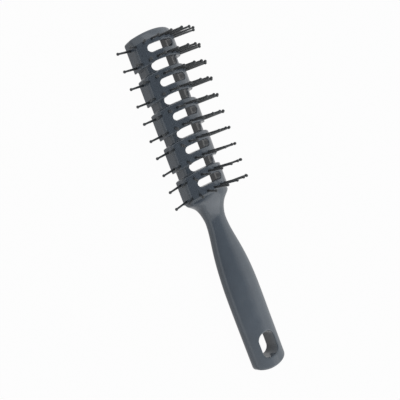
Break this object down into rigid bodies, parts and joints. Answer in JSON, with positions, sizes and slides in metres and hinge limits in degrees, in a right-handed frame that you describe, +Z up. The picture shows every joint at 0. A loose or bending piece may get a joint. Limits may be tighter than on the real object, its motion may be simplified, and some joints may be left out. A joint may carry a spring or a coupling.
{
  "type": "vent hairbrush",
  "caption": "One-piece hairbrush: half-round vented head with arched blocks and fanned ball-tipped pins, open channel behind, slim neck, flat oval handle with hang slot.",
  "frame": {"origin": "under the middle of the brush, on the plane that its back rests on", "axes": "+Y along the brush towards the tip of the head, +Z up, the way the middle pins point, X across"},
  "size_m": [0.0584, 0.218, 0.0291],
  "materials": {
    "moulding": "smooth dark blue-grey moulded plastic, semi-gloss"
  },
  "bodies": {
    "root": {"brush": "moulding"}
  },
  "joints": []
}
